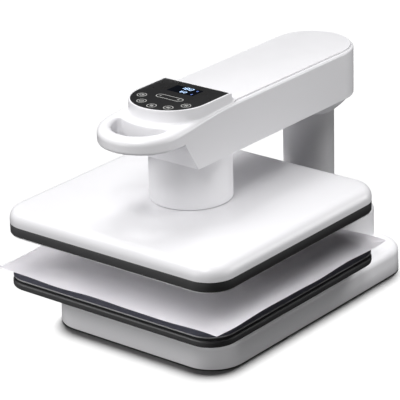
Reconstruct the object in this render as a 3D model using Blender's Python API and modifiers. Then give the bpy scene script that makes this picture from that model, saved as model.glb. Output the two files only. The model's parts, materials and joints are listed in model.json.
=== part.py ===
"""Swing-away heat press with a motor-driven upper platen.  Blender 4.5, metres, +Z up.

The front of the press faces -Y.  The origin is on the ground, under the middle of the whole object.
The press axis (platens, press sleeve, lead screw) is at PRESS_Y, the swing axis (column) at COLUMN_Y.
"""
import math

import bmesh
import bpy
from mathutils import Matrix, Vector

# ---------------------------------------------------------------- driving dimensions
GAP = 0.0003                    # air left between neighbouring pieces
WALL = 0.003                    # moulded housings

PLATEN = 0.400                  # side of both platens
PLATEN_CORNER = 0.041
REACH = 0.290                   # press axis to swing axis
SHEET = 0.408                   # side of the protective sheet

ARM_HALF = 0.0655               # half the arm's width, and its end radius
ARM_TAIL = 0.007                # centre of the arm's round tail behind the swing axis
ARM_BOTTOM = 0.2643
ARM_TOP = 0.3390
ARM_FRONT = -0.0625             # lower front edge of the arm, from the press axis
ARM_CHIN = -0.0890              # where its sloped front meets the handle
ARM_MOUTH = 0.0057              # thickness of the arm's wall around its open top
ARM_LEDGE = 0.3120              # height where the wall thickens to that
HANDLE_CENTRE = -0.1025         # centre of the handle's round front, from the press axis
HANDLE_BOTTOM = 0.3075
HANDLE_TIP_TOP = 0.3305         # top of the handle at its very front
FINGER_HALF = 0.0455            # radius of the finger opening's round front
FINGER_BACK = -0.1110           # middle of its rear edge ...
FINGER_REAR = 0.0950            # ... and that edge's radius, bowed forward round the console
FINGER_CORNER = 0.0035          # how far the rear edge's ends stay inside the front's radius
SLOPE_START = 0.020             # the arm's top is level behind this line
LID_MARGIN = 0.0042             # arm's side to the lid's edge
LID_THICK = 0.0025

CONSOLE_CENTRE = -0.038         # centre of the console's round front, from the press axis
CONSOLE_HALF = 0.0615
CONSOLE_REAR = 0.0225
CONSOLE_HEEL = 0.0085           # run of the slope behind the console
CONSOLE_FOOT = 0.3250
CONSOLE_TOP = 0.3540
CONSOLE_WALL = 0.0025
PANEL_HALF = 0.0590

BASE_HALF = 0.1625
BASE_FRONT = -0.148             # from the press axis
BASE_REAR = 0.336
BASE_CORNER = 0.053
BASE_BOTTOM = 0.0015
BASE_TOP = 0.0420
BASE_ROUND = 0.010
BASE_PLATE_TOP = 0.0098
FOOT_RADIUS = 0.013
FOOT_INSET = 0.032              # base's edge to a foot's centre

PEDESTAL_HALF = 0.1165
PEDESTAL_FRONT = 0.212          # from the press axis
PEDESTAL_REAR = 0.330
PEDESTAL_CORNER = 0.045
PEDESTAL_TOP = 0.0972           # the lowered platen still swings over it

TRAY_BOTTOM, TRAY_TOP = 0.0690, 0.0785
GASKET_BOTTOM, GASKET_TOP = 0.0788, 0.0832
BED_BOTTOM, BED_TOP = 0.0835, 0.0848
PAD_BOTTOM, PAD_TOP = 0.0851, 0.0944
SHEET_BOTTOM, SHEET_TOP = 0.0950, 0.0958

HEAT_FACE = 0.1506              # working face of the heat plate
HEAT_STEP = 0.1523              # top of its projecting edge
HEAT_TOP = 0.1600
ELEMENT_Z = 0.1639              # centre line of the heating element
COVER_EDGE = 0.1670             # joint between platen cover and dark band
BOARD_BOTTOM, BOARD_TOP = 0.1677, 0.1716
RAM_PLATE_TOP = 0.1759
COVER_TOP = 0.1902
COVER_ROUND = 0.019

COLUMN_RADIUS = 0.0395
COLUMN_TOP = 0.2497
COLLAR_FOOT = 0.2415            # lower edge of the collar's skirt round the column
COLLAR_LIP = 0.0640
COLLAR_NECK = 0.0418
POST_RADIUS = 0.028
POST_TOP = 0.3340
HUB_RADIUS = 0.0360
SLEEVE_RADIUS = 0.0615
PLUNGER_RADIUS = 0.0580
PLUNGER_TOP = 0.3000
FRAME_TOP = 0.3030              # top of the steel channel inside the arm
BRIDGE_TOP = 0.3075
RODS = (("left", -0.037), ("right", 0.037))
ROD_RADIUS = 0.0060
SCREW_RADIUS = 0.0080
SHAFT_RADIUS = 0.0050
SCREW_BOTTOM = 0.2150

GEAR_MODULE = 0.0015
GEAR_TEETH = 76
PINION_TEETH = 27
GEAR_LOW, GEAR_HIGH = 0.3150, 0.3230

REAR_Z = 0.072                  # height of the mains inlet and the power switch
INLET_X, SWITCH_X = -0.045, 0.045
REAR_HOLES = {"inlet": (0.0140, 0.0100), "switch": (0.0105, 0.0140)}
ROCKER_TILT = 9

PRESS_Y = (SHEET / 2 - (REACH + ARM_TAIL + ARM_HALF)) / 2
COLUMN_Y = PRESS_Y + REACH
TAIL_Y = COLUMN_Y + ARM_TAIL
MOTOR_Y = PRESS_Y + GEAR_MODULE * (GEAR_TEETH + PINION_TEETH) / 2
PRESS = (0, PRESS_Y)
COLUMN = (0, COLUMN_Y)

# ---------------------------------------------------------------- scene and materials
for old in list(bpy.data.objects):
    bpy.data.objects.remove(old, do_unlink=True)

PARTS = bpy.data.collections.new("heat_press")
CUTTERS = bpy.data.collections.new("cutters")
for collection in (PARTS, CUTTERS):
    bpy.context.scene.collection.children.link(collection)

FINISHES = {                    # colour, roughness, metallic
    "white_shell": ((0.90, 0.90, 0.92), 0.25, 0.0),
    "dark_band": ((0.045, 0.045, 0.048), 0.50, 0.0),
    "slate_silicone": ((0.10, 0.105, 0.13), 0.80, 0.0),
    "black_rubber": ((0.02, 0.02, 0.02), 0.85, 0.0),
    "black_glass": ((0.012, 0.012, 0.013), 0.08, 0.0),
    "display": ((0.10, 0.14, 0.22), 0.20, 0.0),
    "black_plastic": ((0.03, 0.03, 0.03), 0.45, 0.0),
    "coated_cloth": ((0.86, 0.86, 0.87), 0.60, 0.0),
    "aluminium": ((0.75, 0.75, 0.76), 0.35, 1.0),
    "steel": ((0.55, 0.56, 0.58), 0.35, 1.0),
    "brass": ((0.72, 0.55, 0.25), 0.35, 1.0),
    "circuit_board": ((0.02, 0.16, 0.07), 0.50, 0.0),
    "ceramic_board": ((0.80, 0.77, 0.70), 0.90, 0.0),
}


def material(name):
    """The Principled material of that finish, made once."""
    found = bpy.data.materials.get(name)
    if found:
        return found
    colour, roughness, metallic = FINISHES[name]
    made = bpy.data.materials.new(name)
    made.use_nodes = True
    shader = made.node_tree.nodes["Principled BSDF"]
    shader.inputs["Base Color"].default_value = (*colour, 1.0)
    shader.inputs["Roughness"].default_value = roughness
    shader.inputs["Metallic"].default_value = metallic
    made.diffuse_color = (*colour, 1.0)
    return made


# ---------------------------------------------------------------- helpers
def place(name, mesh, finish, at=(0, 0, 0), collection=PARTS):
    """Link a mesh as an object at a point, shaded smooth with sharp corners kept."""
    made = bpy.data.objects.new(name, mesh)
    collection.objects.link(made)
    made.location = at
    if finish:
        mesh.materials.append(material(finish))
    mesh.shade_smooth()
    mesh.set_sharp_from_angle(angle=math.radians(35))
    return made


def arc(cx, cy, radius, start, end, steps):
    """Points on an arc, degrees, both ends included."""
    points = []
    for k in range(steps + 1):
        angle = math.radians(start + (end - start) * k / steps)
        points.append((cx + radius * math.cos(angle), cy + radius * math.sin(angle)))
    return points


def rectangle(half_x, y0, y1, corner, steps=6):
    """Outline of a rectangle with round corners, anticlockwise."""
    low, high, side = y0 + corner, y1 - corner, half_x - corner
    points = arc(side, low, corner, -90, 0, steps)
    points += arc(side, high, corner, 0, 90, steps)
    points += arc(-side, high, corner, 90, 180, steps)
    points += arc(-side, low, corner, 180, 270, steps)
    return points


def stadium(half, y_front, y_rear, steps=24):
    """Outline with a half-round at the front and at the rear, about the two centres."""
    return arc(0, y_front, half, 180, 360, steps) + arc(0, y_rear, half, 0, 180, steps)


def round_front(half, centre, rear, steps=24):
    """D outline: a half-round front about its centre, and a straight rear edge."""
    return arc(0, centre, half, 180, 360, steps) + [(half, rear), (-half, rear)]


def round_rear(half, front, centre, steps=24):
    """D outline: a straight front edge, and a half-round rear about its centre."""
    return [(-half, front), (half, front)] + arc(0, centre, half, 0, 180, steps)


def slab(name, outline, z0, z1, finish, top=0.0, bottom=0.0, steps=3, open_below=False,
         collection=PARTS):
    """An outline extruded from z0 to z1, with its top and bottom edges rounded."""
    bm = bmesh.new()
    face = bm.faces.new([bm.verts.new((x, y, z0)) for x, y in outline])
    raised = bmesh.ops.extrude_face_region(bm, geom=[face])
    lifted = [v for v in raised["geom"] if isinstance(v, bmesh.types.BMVert)]
    bmesh.ops.translate(bm, verts=lifted, vec=(0, 0, z1 - z0))
    bmesh.ops.recalc_face_normals(bm, faces=bm.faces)
    for level, width in ((z1, top), (z0, bottom)):
        if width:
            rim = [e for e in bm.edges if all(abs(v.co.z - level) < 1e-6 for v in e.verts)]
            bmesh.ops.bevel(bm, geom=rim, offset=width, segments=steps, profile=0.5,
                            affect="EDGES", clamp_overlap=True)
    if open_below:
        under = [f for f in bm.faces if f.normal.z < -0.99 and f.calc_center_median().z < z0 + 1e-6]
        bmesh.ops.delete(bm, geom=under, context="FACES")
    mesh = bpy.data.meshes.new(name)
    bm.to_mesh(mesh)
    bm.free()
    return place(name, mesh, finish, collection=collection)


def shell(name, outline, z0, z1, finish, top=0.0, wall=WALL, steps=3):
    """A housing open below: the slab's surface, made solid inwards."""
    made = slab(name, outline, z0, z1, finish, top=top, steps=steps, open_below=True)
    solid = made.modifiers.new("wall", "SOLIDIFY")
    solid.thickness = wall
    solid.offset = -1
    solid.use_even_offset = True
    return made


def flat(name, loops, z0, z1, finish):
    """A flat piece from a 2D curve: the first loop is its outline, the others are holes."""
    curve = bpy.data.curves.new(name, "CURVE")
    curve.dimensions = "2D"
    curve.fill_mode = "BOTH"
    curve.extrude = (z1 - z0) / 2
    for loop in loops:
        spline = curve.splines.new("POLY")
        spline.points.add(len(loop) - 1)
        for point, (x, y) in zip(spline.points, loop):
            point.co = (x, y, 0, 1)
        spline.use_cyclic_u = True
    made = bpy.data.objects.new(name, curve)
    PARTS.objects.link(made)
    made.location.z = (z0 + z1) / 2
    curve.materials.append(material(finish))
    return made


def turned(name, profile, at, finish, steps=40):
    """A turned piece: its closed profile (radius, z) runs down the outer side and up the inner one."""
    mesh = bpy.data.meshes.new(name)
    count = len(profile)
    on_axis = profile[0][0] == 0 and profile[-1][0] == 0
    edges = [(k, k + 1) for k in range(count - 1)]
    if not on_axis:
        edges.append((count - 1, 0))
    mesh.from_pydata([(r, 0, z) for r, z in profile], edges, [])
    made = bpy.data.objects.new(name, mesh)
    PARTS.objects.link(made)
    made.location = at
    mesh.materials.append(material(finish))
    screw = made.modifiers.new("turn", "SCREW")
    screw.axis = "Z"
    screw.steps = steps
    screw.render_steps = steps
    screw.use_merge_vertices = True
    screw.merge_threshold = 0.00001
    screw.use_smooth_shade = False
    return made


def tube(name, outer, inner, z0, z1, at, finish, steps=32):
    """A plain tube or ring."""
    profile = [(outer, z1), (outer, z0), (inner, z0), (inner, z1)]
    return turned(name, profile, (at[0], at[1], 0), finish, steps)


def rod(name, radius, z0, z1, at, finish, steps=32, collection=PARTS):
    """A plain upright cylinder."""
    bm = bmesh.new()
    bmesh.ops.create_cone(bm, cap_ends=True, segments=steps, radius1=radius, radius2=radius, depth=z1 - z0)
    mesh = bpy.data.meshes.new(name)
    bm.to_mesh(mesh)
    bm.free()
    return place(name, mesh, finish, (at[0], at[1], (z0 + z1) / 2), collection)


def block(name, low, high, finish, bevel=0.0, collection=PARTS):
    """A box between two corners, with its edges chamfered."""
    bm = bmesh.new()
    bmesh.ops.create_cube(bm, size=1)
    size = Vector(high) - Vector(low)
    bmesh.ops.scale(bm, vec=size, verts=bm.verts)
    if bevel:
        bmesh.ops.bevel(bm, geom=bm.edges[:], offset=bevel, segments=2, profile=0.5, affect="EDGES")
    mesh = bpy.data.meshes.new(name)
    bm.to_mesh(mesh)
    bm.free()
    return place(name, mesh, finish, (Vector(low) + Vector(high)) / 2, collection)


def prism_x(name, profile, half, collection):
    """A solid with a (y, z) profile, running across from -half to +half in X."""
    bm = bmesh.new()
    face = bm.faces.new([bm.verts.new((-half, y, z)) for y, z in profile])
    moved = bmesh.ops.extrude_face_region(bm, geom=[face])
    lifted = [v for v in moved["geom"] if isinstance(v, bmesh.types.BMVert)]
    bmesh.ops.translate(bm, verts=lifted, vec=(2 * half, 0, 0))
    bmesh.ops.recalc_face_normals(bm, faces=bm.faces)
    mesh = bpy.data.meshes.new(name)
    bm.to_mesh(mesh)
    bm.free()
    return place(name, mesh, None, collection=collection)


def combine(target, tool, operation):
    """Join to, or cut from, the target with the tool, which stays among the cutters."""
    tool.hide_render = True
    tool.display_type = "WIRE"
    step = target.modifiers.new(tool.name, "BOOLEAN")
    step.operation = operation
    step.object = tool
    step.solver = "EXACT"
    return target


def cut(target, tool):
    """Cut the tool out of the target."""
    return combine(target, tool, "DIFFERENCE")


def join(target, tool):
    """Join the tool to the target."""
    return combine(target, tool, "UNION")


def drill(target, name, radius, z0, z1, at, steps=32):
    """Cut an upright round hole."""
    return cut(target, rod(name, radius, z0, z1, at, None, steps, CUTTERS))


def circle(radius, at, steps=32):
    """A circular loop for a flat piece."""
    return arc(at[0], at[1], radius, 0, 360 * (steps - 1) / steps, steps - 1)


def square(side, corner=PLATEN_CORNER, steps=6):
    """Round-cornered square outline about the press axis."""
    return rectangle(side / 2, PRESS_Y - side / 2, PRESS_Y + side / 2, corner, steps)


# ---------------------------------------------------------------- base and column
def base_outline(inset=0.0):
    """Outline of the base, moved inwards by inset."""
    return rectangle(BASE_HALF - inset, PRESS_Y + BASE_FRONT + inset, PRESS_Y + BASE_REAR - inset,
                     BASE_CORNER - inset, 8)


def build_base():
    """The base's housing, its steel bottom plate and four rubber feet."""
    housing = shell("base_shell", base_outline(), BASE_BOTTOM, BASE_TOP, "white_shell", top=BASE_ROUND)
    drill(housing, "base_post_hole", POST_RADIUS + GAP, 0.02, 0.06, COLUMN)
    flat("base_plate", [base_outline(WALL + GAP)], BASE_BOTTOM + GAP, BASE_PLATE_TOP, "steel")
    foot_x = BASE_HALF - FOOT_INSET
    rows = (("front", PRESS_Y + BASE_FRONT + FOOT_INSET), ("rear", PRESS_Y + BASE_REAR - FOOT_INSET))
    for end, y in rows:
        for side, x in (("left", -foot_x), ("right", foot_x)):
            rod(f"foot_{end}_{side}", FOOT_RADIUS, 0.0, BASE_BOTTOM, (x, y), "black_rubber", 24)


def build_pedestal():
    """The housing behind the platens, with holes for the post, the inlet and the switch."""
    rear = PRESS_Y + PEDESTAL_REAR
    outline = rectangle(PEDESTAL_HALF, PRESS_Y + PEDESTAL_FRONT, rear, PEDESTAL_CORNER, 6)
    housing = shell("pedestal_housing", outline, BASE_TOP + GAP, PEDESTAL_TOP, "white_shell", top=0.006)
    drill(housing, "pedestal_post_hole", POST_RADIUS + GAP, 0.08, 0.11, COLUMN)
    for name, x in (("inlet", INLET_X), ("switch", SWITCH_X)):
        half_w, half_h = REAR_HOLES[name]
        low = (x - half_w - GAP, rear - 0.010, REAR_Z - half_h - GAP)
        high = (x + half_w + GAP, rear + 0.010, REAR_Z + half_h + GAP)
        cut(housing, block(f"{name}_hole", low, high, None, collection=CUTTERS))


def build_column():
    """The steel post that the arm swings on, its white cover and what holds the hub on it."""
    foot = BASE_PLATE_TOP + GAP
    flange_top, flange_radius, bore = foot + 0.006, 0.041, POST_RADIUS - 0.006
    post = [(POST_RADIUS, POST_TOP), (POST_RADIUS, flange_top), (flange_radius, flange_top),
            (flange_radius, foot), (bore, foot), (bore, POST_TOP)]
    turned("column_post", post, (0, COLUMN_Y, 0), "steel")
    tube("column_cover", COLUMN_RADIUS, COLUMN_RADIUS - WALL, PEDESTAL_TOP + GAP, COLUMN_TOP, COLUMN,
         "white_shell", 48)
    ring, bore = 0.035, POST_RADIUS + GAP
    tube("support_ring", ring, bore, 0.2440, 0.2490, COLUMN, "steel")
    tube("thrust_washer", ring, bore, 0.2493, 0.2517, COLUMN, "brass")
    nut = [circle(0.038, COLUMN, 6), circle(POST_RADIUS + 2 * GAP, COLUMN, 40)]
    flat("retaining_nut", nut, 0.3283, 0.3335, "steel")


# ---------------------------------------------------------------- mains inlet, switch, electronics
def rear_socket(name, part, x, depth, rim, recess):
    """A body in its hole in the pedestal, with a rim outside and an open recess."""
    face = PRESS_Y + PEDESTAL_REAR
    half_w, half_h = REAR_HOLES[name]
    body = block(part, (x - half_w, face - depth, REAR_Z - half_h),
                 (x + half_w, face + 0.0023, REAR_Z + half_h), "black_plastic")
    join(body, block(f"{name}_rim", (x - half_w - rim[0], face + GAP, REAR_Z - half_h - rim[1]),
                     (x + half_w + rim[0], face + 0.0025, REAR_Z + half_h + rim[1]), None, 0.0006, CUTTERS))
    cut(body, block(f"{name}_recess", (x - recess[0], face - recess[2], REAR_Z - recess[1]),
                    (x + recess[0], face + 0.010, REAR_Z + recess[1]), None, collection=CUTTERS))


def build_rear_panel():
    """The mains inlet with its three pins, and the rocker switch."""
    face = PRESS_Y + PEDESTAL_REAR
    recess_depth = 0.015
    rear_socket("inlet", "inlet_body", INLET_X, 0.022, (0.004, 0.003), (0.012, 0.008, recess_depth))
    for name, dx, dz in (("live", -0.007, -0.002), ("neutral", 0.007, -0.002), ("earth", 0.0, 0.002)):
        low = (INLET_X + dx - 0.001, face - recess_depth + GAP, REAR_Z + dz - 0.002)
        high = (INLET_X + dx + 0.001, face - 0.003, REAR_Z + dz + 0.002)
        block(f"inlet_pin_{name}", low, high, "brass", 0.0003)

    rear_socket("switch", "switch_housing", SWITCH_X, 0.016, (0.002, 0.002), (0.0085, 0.0120, 0.012))
    rocker = block("power_rocker", (-0.0081, -0.0025, -0.0108), (0.0081, 0.0055, 0.0108),
                   "black_plastic", 0.0008)
    rocker.data.transform(Matrix.Translation(rocker.location))
    rocker.location = (SWITCH_X, face - 0.004, REAR_Z)
    rocker.rotation_euler.x = math.radians(-ROCKER_TILT)


def build_electronics():
    """The power board and what is on it, inside the base."""
    y = PRESS_Y + 0.02
    tray = BASE_PLATE_TOP + GAP
    board = tray + 0.005 + GAP
    fitted = board + 0.0016 + GAP
    block("board_tray", (-0.075, y - 0.055, tray), (0.075, y + 0.055, board - GAP), "black_plastic", 0.001)
    block("power_board", (-0.070, y - 0.050, board), (0.070, y + 0.050, fitted - GAP), "circuit_board")
    block("power_relay", (-0.050, y - 0.030, fitted), (-0.022, y - 0.008, fitted + 0.017),
          "black_plastic", 0.001)
    block("terminal_block", (0.000, y + 0.020, fitted), (0.055, y + 0.036, fitted + 0.012),
          "black_plastic", 0.001)


# ---------------------------------------------------------------- lower platen
def build_lower_platen():
    """From the base up: support frame, tray, gasket, bed, silicone pad and the sheet laid on it."""
    ring = [square(0.250, 0.030), square(0.230, 0.022)]
    flat("platen_plinth", ring, BASE_TOP + GAP, TRAY_BOTTOM - GAP, "white_shell")
    slab("lower_tray", square(PLATEN), TRAY_BOTTOM, TRAY_TOP, "dark_band", top=0.0015, bottom=0.002, steps=2)
    flat("tray_gasket", [square(PLATEN - 0.008, PLATEN_CORNER - 0.004)], GASKET_BOTTOM, GASKET_TOP,
         "black_rubber")
    flat("lower_plate", [square(PLATEN - 0.001)], BED_BOTTOM, BED_TOP, "aluminium")
    slab("silicone_pad", square(PLATEN - 0.002), PAD_BOTTOM, PAD_TOP, "slate_silicone", top=0.001, steps=1)
    flat("protective_sheet", [square(SHEET, 0.002, 2)], SHEET_BOTTOM, SHEET_TOP, "coated_cloth")


# ---------------------------------------------------------------- upper platen and ram
def serpentine(rows, pitch, half, bend_steps=6):
    """Centre line of a heating element that runs to and fro across X."""
    points = []
    for row in range(rows):
        y = (row - (rows - 1) / 2) * pitch
        side = 1 if row % 2 == 0 else -1
        points.append((-side * half, y))
        if row < rows - 1:
            bend = arc(half * side, y + pitch / 2, pitch / 2, -90, 90, bend_steps)
            points += [(half * side + (x - half * side) * side, by) for x, by in bend]
        else:
            points.append((side * half, y))
    return points


def build_heating_element():
    """A tubular element that runs to and fro over the heat plate."""
    curve = bpy.data.curves.new("heating_element", "CURVE")
    curve.dimensions = "3D"
    curve.bevel_depth = 0.0035
    curve.bevel_resolution = 2
    curve.use_fill_caps = True
    path = serpentine(6, 0.060, 0.150)
    spline = curve.splines.new("POLY")
    spline.points.add(len(path) - 1)
    for point, (x, y) in zip(spline.points, path):
        point.co = (x, y, 0, 1)
    curve.materials.append(material("steel"))
    element = bpy.data.objects.new("heating_element", curve)
    PARTS.objects.link(element)
    element.location = (0, PRESS_Y, ELEMENT_Z)


def build_upper_platen():
    """The platen's cover, its dark band, and the heat plate with what heats it."""
    cover = shell("platen_cover", square(PLATEN, steps=8), COVER_EDGE, COVER_TOP, "white_shell",
                  top=COVER_ROUND, steps=6)
    drill(cover, "cover_plunger_hole", PLUNGER_RADIUS + GAP, 0.180, 0.200, PRESS, 48)
    flat("heat_band", [square(PLATEN), square(PLATEN - 0.012, PLATEN_CORNER - 0.006)],
         HEAT_STEP + GAP, COVER_EDGE - GAP, "dark_band")
    plate = slab("heat_plate", square(PLATEN - 0.0026, PLATEN_CORNER - 0.001), HEAT_FACE, HEAT_STEP,
                 "aluminium", bottom=0.0008, steps=1)
    join(plate, slab("heat_plate_body", square(PLATEN - 0.014, PLATEN_CORNER - 0.007), HEAT_STEP - 0.0008,
                     HEAT_TOP, None, collection=CUTTERS))
    build_heating_element()
    sensor_top = 0.1660
    rod("thermal_cutout", 0.009, HEAT_TOP + GAP, sensor_top, (0.060, PRESS_Y), "ceramic_board", 24)
    rod("heat_sensor", 0.005, HEAT_TOP + GAP, sensor_top, (-0.060, PRESS_Y), "brass", 20)
    flat("insulation_board", [square(0.376, 0.03)], BOARD_BOTTOM, BOARD_TOP, "ceramic_board")
    flat("ram_plate", [square(0.240, 0.02)], BOARD_TOP + GAP, RAM_PLATE_TOP, "steel")


def build_ram():
    """The plunger that carries the upper platen, with its two guide bushes and the screw's nut."""
    low, bore, wall, roof = RAM_PLATE_TOP + GAP, 0.0120, 0.0035, 0.0040
    inner, under_roof = PLUNGER_RADIUS - wall, PLUNGER_TOP - roof
    profile = [(bore, PLUNGER_TOP), (PLUNGER_RADIUS, PLUNGER_TOP), (PLUNGER_RADIUS, low), (inner, low),
               (inner, under_roof), (bore, under_roof)]
    plunger = turned("plunger", profile, (0, PRESS_Y, 0), "white_shell")
    bush = 0.0085
    for side, x in RODS:
        drill(plunger, f"bush_hole_{side}", bush + GAP, 0.285, 0.310, (x, PRESS_Y), 24)
        tube(f"guide_bush_{side}", bush, ROD_RADIUS + GAP, 0.2840, PLUNGER_TOP, (x, PRESS_Y), "brass", 24)
    neck, collar, thread = bore - GAP, 0.0170, SCREW_RADIUS + GAP
    shoulder, nut_low = under_roof - GAP, 0.2790
    nut = [(neck, PLUNGER_TOP), (neck, shoulder), (collar, shoulder), (collar, nut_low), (thread, nut_low),
           (thread, PLUNGER_TOP)]
    turned("screw_nut", nut, (0, PRESS_Y, 0), "brass", 32)


# ---------------------------------------------------------------- drive
def gear_outline(teeth, at, turn):
    """Toothed outline; a tooth points along the angle turn (degrees)."""
    pitch_radius = GEAR_MODULE * teeth / 2
    tip, root = pitch_radius + 0.70 * GEAR_MODULE, pitch_radius - 1.15 * GEAR_MODULE
    step = 360 / teeth
    points = []
    for k in range(teeth):
        middle = turn + k * step
        for offset, radius in ((-0.27, root), (-0.11, tip), (0.11, tip), (0.27, root)):
            angle = math.radians(middle + offset * step)
            points.append((at[0] + radius * math.cos(angle), at[1] + radius * math.sin(angle)))
    return points


def build_drive():
    """The lead screw with its gear and bearing, the motor with its pinion, and the guide rods."""
    neck, shaft_top = 0.3140, 0.3310
    screw = [(0, shaft_top), (SHAFT_RADIUS, shaft_top), (SHAFT_RADIUS, neck), (SCREW_RADIUS, neck),
             (SCREW_RADIUS, SCREW_BOTTOM), (0, SCREW_BOTTOM)]
    turned("lead_screw", screw, (0, PRESS_Y, 0), "steel", 24)
    gear = flat("screw_gear", [gear_outline(GEAR_TEETH, (0, 0), 90), circle(SHAFT_RADIUS + GAP, (0, 0), 24)],
                GEAR_LOW, GEAR_HIGH, "steel")
    gear.location.y = PRESS_Y
    bearing_low, bearing_high = BRIDGE_TOP + GAP, 0.3145
    bearing = [(0.0150, bearing_high), (0.0150, bearing_low), (SCREW_RADIUS + GAP, bearing_low),
               (SCREW_RADIUS + GAP, bearing_high)]
    turned("screw_bearing", bearing, (0, PRESS_Y, 0), "steel", 32)

    shaft, body, body_low, body_high = 0.0030, 0.0185, 0.2720, 0.3110
    motor = [(0, 0.3250), (shaft, 0.3250), (shaft, body_high), (body, body_high), (body, body_low),
             (0, body_low)]
    turned("gearmotor", motor, (0, MOTOR_Y, 0), "steel", 32)
    teeth = gear_outline(PINION_TEETH, (0, 0), -90 + 180 / PINION_TEETH)
    pinion = flat("motor_pinion", [teeth, circle(shaft + GAP, (0, 0), 16)], GEAR_LOW, GEAR_HIGH, "brass")
    pinion.location.y = MOTOR_Y
    for side, x in RODS:
        rod(f"guide_rod_{side}", ROD_RADIUS, SCREW_BOTTOM, FRAME_TOP + 0.0002, (x, PRESS_Y), "steel", 24)


# ---------------------------------------------------------------- arm
def top_line(lift):
    """Side view of the arm's top, raised by lift: a slope up from beyond the handle's tip, then level."""
    tip = PRESS_Y + HANDLE_CENTRE - ARM_HALF
    start = PRESS_Y + SLOPE_START
    fall = (ARM_TOP - HANDLE_TIP_TOP) / (start - tip)
    beyond = 0.05
    return [(tip - beyond, HANDLE_TIP_TOP - fall * beyond + lift), (start, ARM_TOP + lift),
            (TAIL_Y + 0.2, ARM_TOP + lift)]


def slope_cutter(name, lift, closing_z):
    """Cutter between the arm's top line and a level above or below it."""
    line = top_line(lift)
    return prism_x(name, line + [(line[-1][0], closing_z), (line[0][0], closing_z)], 0.1, CUTTERS)


def finger_opening():
    """Outline of the finger opening: a round front, and a rear edge that follows the console."""
    spread = math.degrees(math.asin((FINGER_HALF - FINGER_CORNER) / FINGER_REAR))
    points = arc(0, PRESS_Y + HANDLE_CENTRE, FINGER_HALF, 187, 353, 20)
    points += arc(0, PRESS_Y + FINGER_BACK + FINGER_REAR, FINGER_REAR, -90 + spread, -90 - spread, 12)
    return points


def build_arm_shell():
    """The arm's housing: a round handle with a finger opening, and an open top for console and lid."""
    outline = stadium(ARM_HALF, PRESS_Y + HANDLE_CENTRE, TAIL_Y)
    arm = slab("arm_shell", outline, ARM_BOTTOM, ARM_TOP, "white_shell")
    above, below = ARM_TOP + 0.02, ARM_BOTTOM - 0.02
    cut(arm, slope_cutter("arm_top_cut", 0.0, above))
    front = PRESS_Y + HANDLE_CENTRE - 2 * ARM_HALF
    chin = [(front, HANDLE_BOTTOM), (front, below), (PRESS_Y + ARM_FRONT, below),
            (PRESS_Y + ARM_FRONT, ARM_BOTTOM), (PRESS_Y + ARM_CHIN, HANDLE_BOTTOM)]
    cut(arm, prism_x("chin_cut", chin, 0.1, CUTTERS))
    cut(arm, slab("finger_cut", finger_opening(), HANDLE_BOTTOM - 0.01, above, None, collection=CUTTERS))
    pocket_front = PRESS_Y + ARM_FRONT + 0.0035
    pocket = round_rear(ARM_HALF - WALL, pocket_front, TAIL_Y)
    cut(arm, slab("arm_pocket", pocket, ARM_BOTTOM + WALL, ARM_LEDGE, None, collection=CUTTERS))
    mouth = round_rear(ARM_HALF - ARM_MOUTH, pocket_front, TAIL_Y)
    cut(arm, slab("arm_mouth", mouth, ARM_LEDGE - 0.002, above, None, collection=CUTTERS))
    bay = round_front(CONSOLE_HALF - 0.006, PRESS_Y + CONSOLE_CENTRE, PRESS_Y)
    cut(arm, slab("console_bay", bay, HANDLE_BOTTOM + 0.004, above, None, collection=CUTTERS))
    drill(arm, "arm_plunger_hole", PLUNGER_RADIUS + GAP, 0.25, 0.28, PRESS, 48)
    drill(arm, "arm_hub_hole", HUB_RADIUS + GAP, 0.25, 0.28, COLUMN, 48)


def build_console():
    """The raised console in front of the lid, with its touch panel, display and board."""
    centre, rear = PRESS_Y + CONSOLE_CENTRE, PRESS_Y + CONSOLE_REAR
    heel_foot = rear + CONSOLE_HEEL - GAP
    lid_top = ARM_TOP + GAP + LID_THICK
    console = slab("console_housing", round_front(CONSOLE_HALF, centre, rear), CONSOLE_FOOT, CONSOLE_TOP,
                   "white_shell", top=0.0008, steps=1)
    heel = [(PRESS_Y, CONSOLE_FOOT), (heel_foot, CONSOLE_FOOT), (heel_foot, lid_top),
            (rear, CONSOLE_TOP - 0.001), (PRESS_Y, CONSOLE_TOP - 0.001)]
    join(console, prism_x("console_heel", heel, CONSOLE_HALF - GAP, CUTTERS))
    cut(console, slope_cutter("console_foot_cut", GAP, 0.20))
    glass_low, glass_high = CONSOLE_TOP - 0.0019, CONSOLE_TOP - 0.0001
    recess = round_front(PANEL_HALF + GAP, centre, rear - CONSOLE_WALL)
    cut(console, slab("panel_recess", recess, glass_low - GAP, CONSOLE_TOP + 0.01, None, collection=CUTTERS))
    pocket = round_front(CONSOLE_HALF - CONSOLE_WALL, centre, rear - CONSOLE_WALL)
    cut(console, slab("console_pocket", pocket, CONSOLE_FOOT - 0.01, CONSOLE_TOP - 0.0045, None,
                      collection=CUTTERS))
    window_low = Vector((-0.0255, PRESS_Y - 0.0225, 0.345))
    window_high = Vector((0.0255, PRESS_Y + 0.0065, 0.360))
    cut(console, block("display_window", window_low, window_high, None, collection=CUTTERS))

    slab("panel_glass", round_front(PANEL_HALF, centre, rear - CONSOLE_WALL - GAP), glass_low, glass_high,
         "black_glass", top=0.0004, steps=1)
    margin = Vector((0.0005, 0.0005, 0))
    low, high = window_low + margin, window_high - margin
    board_low, board_high = 0.3443, 0.3459
    low.z, high.z = board_high + GAP, glass_low - 0.0005
    block("display_module", low, high, "display", 0.0005)
    slab("control_board", round_front(0.0540, centre, PRESS_Y + 0.016), board_low, board_high,
         "circuit_board")


def build_arm_lid():
    """The level lid behind the console."""
    low = ARM_TOP + GAP
    outline = round_rear(ARM_HALF - LID_MARGIN, PRESS_Y + CONSOLE_REAR + CONSOLE_HEEL, TAIL_Y)
    slab("arm_lid", outline, low, low + LID_THICK, "white_shell", top=0.001, steps=1)


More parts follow.
